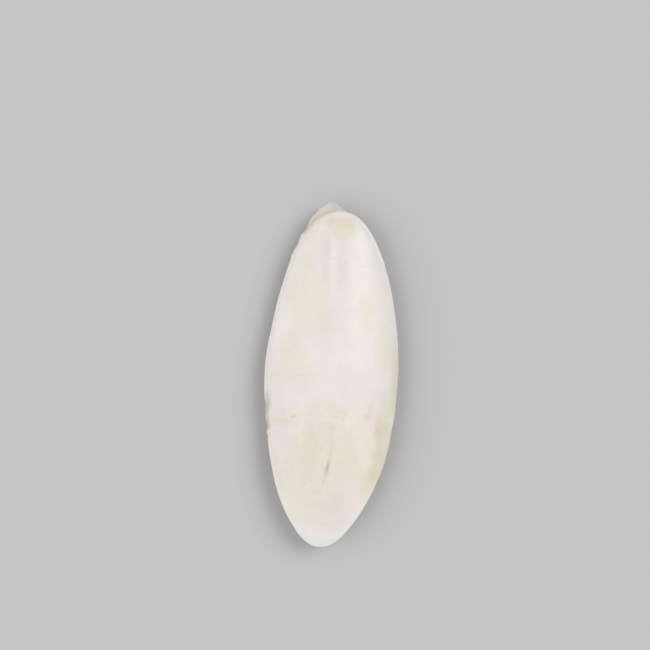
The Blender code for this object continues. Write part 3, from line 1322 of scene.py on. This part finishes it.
@dataclass
class Cuttlebone:
    """The bone, one closed piece that takes the place of the CAD solid.

    It keeps spare inside the solid's width, for what stands out from the outline. The edge's half circle
    takes at most edge_share of half the width. The worn flat under the back has a rounded edge.
    """

    half_length: float
    half_width: float
    spare: float = 0.15
    rows: int = 438
    row_gathering: float = 0.75
    section_power: float = 2.6
    section_root: float = 0.85
    hollow_end_y: Span = (-38.0, -46.0)
    hollow_end_foot: Span = (2.2, 0.0)
    relief_foot: Span = (0.0, 2.5)
    edge_share: float = 0.45
    least_foot: float = 0.001
    back_power: float = 2.1
    rest_rounding: float = 0.03
    sheet_scale: float = 1.0 / 106.5
    sheet_columns: tuple[float, float] = (0.25, 0.75)
    sheet_middle: float = 0.5
    growth: GrowthLines = GrowthLines()
    patina: Patina = Patina()
    ledge: Ledge = Ledge()
    borders: Borders = Borders()
    around: Around = Around()
    finish: BoneFinish = BoneFinish()
    outline: Outline = field(init=False)
    profile: Profile = field(init=False)

    def __post_init__(self) -> None:
        """Work out the outline and the side view from the size."""
        self.outline = Outline(self.half_length, self.half_width - self.spare)
        self.profile = Profile(self.half_length, self.half_width, self.outline.front_y)

    @classmethod
    def from_frame(cls) -> Cuttlebone:
        """A bone of the CAD solid's size."""
        low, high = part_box(NODE)
        return cls(half_length=(high.y - low.y) / 2.0 / MM, half_width=(high.x - low.x) / 2.0 / MM)

    def row_places(self) -> Array:
        """Where the rows lie. They gather towards the tips, a mix of even steps and a sine.

        Returns:
            Each row's y, as a column.
        """
        even = np.linspace(-1.0, 1.0, self.rows + 2)[1:-1, None]
        gathered = np.sin(even * math.pi / 2.0)
        return self.half_length * ((1.0 - self.row_gathering) * even + self.row_gathering * gathered)

    def foot_distance(self, x: Array, y: Array) -> Array:
        """How far inside the chalk's foot each place is.

        From the sides it is the distance across, shortened by the foot's slant. From the foot's square end
        at the tail it is the distance along. The smaller of the two counts, with a rounded corner between.

        Args:
            x: places across the bone.
            y: its rows, as a column.

        Returns:
            Millimetres, negative outside the foot.
        """
        slant = np.gradient(self.outline.body_half_width(y)[:, 0], y[:, 0])[:, None]
        across = (self.foot_half_width(x, y) - np.abs(x - self.outline.lean(y))) / np.sqrt(1.0 + slant**2)
        return -soft_max(-across, self.ledge.tail_end_y - y, self.ledge.tail_end_rounding)

    def foot_half_width(self, x: Array, y: Array) -> Array:
        """Half the width of the chalk's foot, on the side of the middle line that x is on."""
        right = x > self.outline.lean(y)
        return self.outline.body_half_width(y) - self.ledge.width(right, y, self.half_length)

    def face_height(self, x: Array, y: Array, foot: Array, inside: Array) -> Array:
        """The face above the edge: the chalk's swelling, rise * (1 - share^power)^root, and its relief.

        At the tail, where the face is hollow, the hollow fades out over the last stretch inside the foot.
        The relief comes in over relief_foot.

        Args:
            x: places across the bone.
            y: its rows, as a column.
            foot: how far inside the chalk's foot each place is.
            inside: how far inside the bone's edge each place is.

        Returns:
            Height above the top of the edge, in millimetres.
        """
        half = np.clip(self.foot_half_width(x, y), self.least_foot, None)
        share = np.clip(np.abs(x - self.outline.lean(y)) / half, 0.0, 1.0)
        section = (1.0 - share**self.section_power) ** self.section_root
        section *= 1.0 - smoothstep(*self.hollow_end_y, y) * smoothstep(*self.hollow_end_foot, foot)
        relief = ChalkRelief(self.growth).height(x, y) * smoothstep(*self.relief_foot, foot)
        return self.profile.rise(y) * section + relief + self.ledge.height(foot, inside, y)

    def skin(self) -> Skin:
        """Work out the whole surface.

        Returns:
            Its points, its masks and how far each point is round the section.
        """
        y = self.row_places()
        left, right = self.outline.edges(y)
        middle, half = (left + right) / 2.0, (right - left) / 2.0
        tip = self.outline.tip_distance(y)
        half_margin = self.profile.half_margin(tip)
        radius = np.minimum(half_margin, self.edge_share * half)
        across, out, up = self.around.columns()
        x = middle + (half - radius) * across + radius * out
        z = self.profile.margin(y, half) + half_margin * up
        y = np.broadcast_to(y, x.shape)
        inside = np.minimum(half - np.abs(x - middle), tip)
        foot = self.foot_distance(x, y)
        face, back = self.around.kinds
        z[:, face] += self.face_height(x, y, foot, inside)[:, face]
        share = np.abs(across)[None, back]
        arch = self.profile.arch(half) * (1.0 - share**self.back_power)
        bulge = BackRelief(self.growth).height(x[:, back], y[:, back], share)
        z[:, back] = soft_max(z[:, back] - arch - bulge, np.zeros(1), self.rest_rounding)
        masks = self.masks(x, y, foot, inside)
        points = np.stack([x, y, z], axis=-1)
        step = np.diff(points, axis=1, append=points[:, :1])
        arc = np.cumsum(np.hypot(step[..., 0], step[..., 2]), axis=1)
        return Skin(points, masks, np.concatenate([0.0 * arc[:, :1], arc], axis=1))

    def masks(self, x: Array, y: Array, foot: Array, inside: Array) -> dict[Mask, Array]:
        """What colours each point.

        Args:
            x: places across the bone.
            y: places along it.
            foot: how far inside the chalk's foot each place is.
            inside: how far inside the bone's edge each place is.

        Returns:
            The masks, each between 0 and 1, except the growth in millimetres.
        """
        looks, relief = self.borders, ChalkRelief(self.growth)
        growth = self.growth.on_face(x, y)
        faceward = np.broadcast_to(self.around.faceward(), x.shape)
        chalk = faceward * smoothstep(*looks.chalk_foot, foot)
        on_lip = looks.on_lip(x, y)
        line = faceward * on_lip * looks.line(x, foot)
        bared = chalk * self.growth.bared(growth, x, y)
        face_rim = faceward * (1.0 - on_lip) * looks.rim(x, y, foot, self.ledge.on_shoulder(y))
        back_rim = (1.0 - faceward) * looks.back_rim * hill(inside, looks.back_rim_width)
        masks = {mask: faceward * self.patina.total(mask, x, y) for mask in Mask}
        masks[Mask.SHIELD] = 1.0 - faceward
        masks[Mask.LIP] = faceward * on_lip * looks.lip(x, foot)
        masks[Mask.BARED] = bared * (1.0 - looks.tail_loss * smoothstep(*looks.tail_y, y))
        masks[Mask.COMBED] = chalk * self.growth.plainness(x) * at_least(looks.least_combing, bared)
        masks[Mask.RIM] = face_rim + back_rim
        # Painted shade: the troughs are darkened in colour as well as in relief.
        masks[Mask.SHADE] += looks.trough_painted_shade * chalk * relief.trough_strength(x, y)
        masks[Mask.OLIVE] += looks.line_olive * line
        masks[Mask.DIRT] += faceward * relief.groove_dirt(x, y) + looks.line_dirt * line
        masks = {mask: np.clip(values, 0.0, 1.0) for mask, values in masks.items()}
        masks[Mask.GROWTH] = np.where(faceward > 0.5, growth, self.growth.on_back(x, y))
        return masks

    def faces(self) -> list[tuple[int, ...]]:
        """The net's faces, wound to point outwards.

        Returns:
            The points' numbers of each face: quads between rows, then a fan of triangles at each tip.
        """
        count, last = self.around.count, self.rows * self.around.count
        column = np.arange(count)
        after = (column + 1) % count
        row = count * np.arange(self.rows - 1)[:, None]
        quads = np.stack([row + column, row + after, row + count + after, row + count + column], axis=-1)
        top = last - count
        tail = np.stack([np.full(count, last), after, column], axis=-1)
        head = np.stack([np.full(count, last + 1), top + column, top + after], axis=-1)
        return quads.reshape(-1, 4).tolist() + tail.tolist() + head.tolist()

    def flat_net(self, skin: Skin) -> Array:
        """Lay the surface out flat, the face's half and the back's half side by side.

        The halves part along the middle of each edge. Across, a place lies as far from its half's middle
        column as the way round the section to it, and along, where its y puts it, both times sheet_scale.

        Args:
            skin: the surface.

        Returns:
            Two coordinates for every corner of every face, in the faces' order.
        """
        face, rim, back = self.around.face, self.around.rim, self.around.back
        column = np.arange(self.around.count)
        wrapped = column >= self.around.count - rim // 2 - 1
        on_face = (column < face + rim // 2) | wrapped
        from_middle = skin.arc[:, np.where(on_face, face // 2, face + rim + back // 2)]
        from_middle = from_middle + np.where(wrapped, skin.arc[:, -1:], 0.0)
        start, end = skin.arc[:, :-1] - from_middle, skin.arc[:, 1:] - from_middle
        middle = np.where(on_face, *self.sheet_columns)
        u = [middle + side * self.sheet_scale for side in (start, end)]
        v = np.broadcast_to(self.sheet_middle + skin.points[:, :1, 1] * self.sheet_scale, start.shape)
        quads = [(u[0][:-1], v[:-1]), (u[1][:-1], v[:-1]), (u[1][1:], v[1:]), (u[0][1:], v[1:])]
        corners = np.stack([np.stack(corner, axis=-1) for corner in quads], axis=2).reshape(-1, 2)
        ends = self.sheet_middle + np.array([-1.0, 1.0]) * self.half_length * self.sheet_scale
        tip = [np.stack([middle, np.full(middle.shape, end)], axis=-1) for end in ends]
        rows = [np.stack([side[i], v[i]], axis=-1) for i in (0, -1) for side in u]
        tail = np.stack([tip[0], rows[1], rows[0]], axis=1).reshape(-1, 2)
        head = np.stack([tip[1], rows[2], rows[3]], axis=1).reshape(-1, 2)
        return np.concatenate([corners, tail, head])

    def build(self) -> bpy.types.Object:
        """Make the piece's object.

        Returns:
            The object, at the origin, with its masks as attributes and its flat layout as UV map.
        """
        skin = self.skin()
        ends = np.stack([skin.points[0].mean(axis=0), skin.points[-1].mean(axis=0)])
        ends[:, 1] = (-self.half_length, self.half_length)
        points = np.concatenate([skin.points.reshape(-1, 3), ends]) * MM
        mesh = bpy.data.meshes.new("cuttlebone_surface")
        mesh.from_pydata(points, [], self.faces())
        for mask, values in skin.masks.items():
            layer = mesh.attributes.new(mask.value, "FLOAT", "POINT")
            tips = [values[0].mean(), values[-1].mean()]
            layer.data.foreach_set("value", np.concatenate([values.ravel(), tips]).astype(np.float32))
        layout = mesh.uv_layers.new(name="OFBake")
        layout.data.foreach_set("uv", self.flat_net(skin).astype(np.float32).ravel())
        mesh.shade_smooth()
        mesh.update()
        piece = bpy.data.objects.new("cuttlebone_surface", mesh)
        bpy.context.scene.collection.objects.link(piece)
        return piece

    def dress(self, piece: bpy.types.Object) -> None:
        """Give the piece its material."""
        piece.data.materials.append(self.finish.material())


# The room


@dataclass(frozen=True)
class SoftLight:
    """A wide, soft lamp, far enough off to light bone and floor evenly."""

    name: str
    azimuth_deg: float
    from_overhead_deg: float
    strength: float
    softness_deg: float

    def build(self) -> None:
        """Add the lamp. Azimuth 0 is towards +X, and turns anticlockwise."""
        lamp = bpy.data.lights.new(self.name, "SUN")
        lamp.energy = self.strength * math.pi
        lamp.angle = math.radians(self.softness_deg)
        holder = bpy.data.objects.new(self.name, lamp)
        holder.rotation_euler = (0.0, math.radians(self.from_overhead_deg), math.radians(self.azimuth_deg))
        bpy.context.scene.collection.objects.link(holder)


@dataclass(frozen=True)
class Studio:
    """A plain pale floor, soft light from all round and two lamps, and a camera straight above the bone.

    The camera's height, turn and place put the bone where the photograph has it, at the same size. The
    outline's height is that of the bone's edge, which has to come out at the photograph's scale.
    """

    photo_pixels: int = 650
    mm_per_pixel: float = 0.3036
    origin_pixel: tuple[float, float] = (331.3, 374.3)
    turn_deg: float = 3.2
    lens_mm: float = 100.0
    sensor_mm: float = 36.0
    outline_height: float = 6.0
    floor_size: float = 12.0
    floor_gap: float = 0.00002
    floor_roughness: float = 0.95
    floor_specular: float = 0.2
    room_light: float = 0.55
    lights: tuple[SoftLight, ...] = (
        SoftLight("key light", 30.0, 42.0, 0.40, 40.0),
        SoftLight("fill light", 190.0, 50.0, 0.30, 60.0),
    )

    def build_floor(self) -> bpy.types.Object:
        """Make the floor, one large square just under the resting plane.

        Its matt paper gives the eye an even, pale grey without gloss.

        Returns:
            The floor's object.
        """
        half, level = self.floor_size / 2.0, -self.floor_gap
        corners = [(-half, -half, level), (half, -half, level), (half, half, level), (-half, half, level)]
        mesh = bpy.data.meshes.new("floor")
        mesh.from_pydata(corners, [], [(0, 1, 2, 3)])
        floor = bpy.data.objects.new("floor", mesh)
        bpy.context.scene.collection.objects.link(floor)
        material = bpy.data.materials.new("matt paper")
        material.use_nodes = True
        shader = material.node_tree.nodes["Principled BSDF"]
        shader.inputs["Base Color"].default_value = Tint.FLOOR.linear
        shader.inputs["Roughness"].default_value = self.floor_roughness
        shader.inputs["Specular IOR Level"].default_value = self.floor_specular
        mesh.materials.append(material)
        return floor

    def build_light(self) -> None:
        """Light the room evenly and add the lamps."""
        world = bpy.data.worlds.new("soft room")
        world.use_nodes = True
        background = world.node_tree.nodes["Background"]
        background.inputs["Color"].default_value = (self.room_light, self.room_light, self.room_light, 1.0)
        background.inputs["Strength"].default_value = 1.0
        bpy.context.scene.world = world
        bpy.context.scene.view_settings.view_transform = "Standard"
        for light in self.lights:
            light.build()

    def build_camera(self) -> None:
        """Place the camera so that the bone's origin falls on its pixel, at the photograph's scale."""
        data = bpy.data.cameras.new("camera")
        data.lens = self.lens_mm
        data.sensor_width = self.sensor_mm
        view_width = self.photo_pixels * self.mm_per_pixel
        distance = view_width * self.lens_mm / self.sensor_mm
        middle = self.photo_pixels / 2.0
        right = (middle - self.origin_pixel[0]) * self.mm_per_pixel
        up = (self.origin_pixel[1] - middle) * self.mm_per_pixel
        turn = math.radians(self.turn_deg)
        camera = bpy.data.objects.new("camera", data)
        camera.location = (
            (right * math.cos(turn) - up * math.sin(turn)) * MM,
            (right * math.sin(turn) + up * math.cos(turn)) * MM,
            (distance + self.outline_height) * MM,
        )
        camera.rotation_euler = (0.0, 0.0, turn)
        bpy.context.scene.collection.objects.link(camera)
        bpy.context.scene.camera = camera

    def build(self) -> None:
        """Build the whole room."""
        self.build_floor()
        self.build_light()
        self.build_camera()


def main() -> None:
    """Build the bone and the room, and say what stands for what."""
    bone = Cuttlebone.from_frame()
    piece = bone.build()
    bone.dress(piece)
    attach(piece, BODY)
    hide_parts(NODE)
    LOG.info("%s: %d faces in place of %s", piece.name, len(piece.data.polygons), NODE)
    Studio().build()
    LOG.info("room: floor, lamps and camera")


if __name__ == "__main__":
    logging.basicConfig(level=logging.INFO, format="%(name)s: %(message)s")
    main()
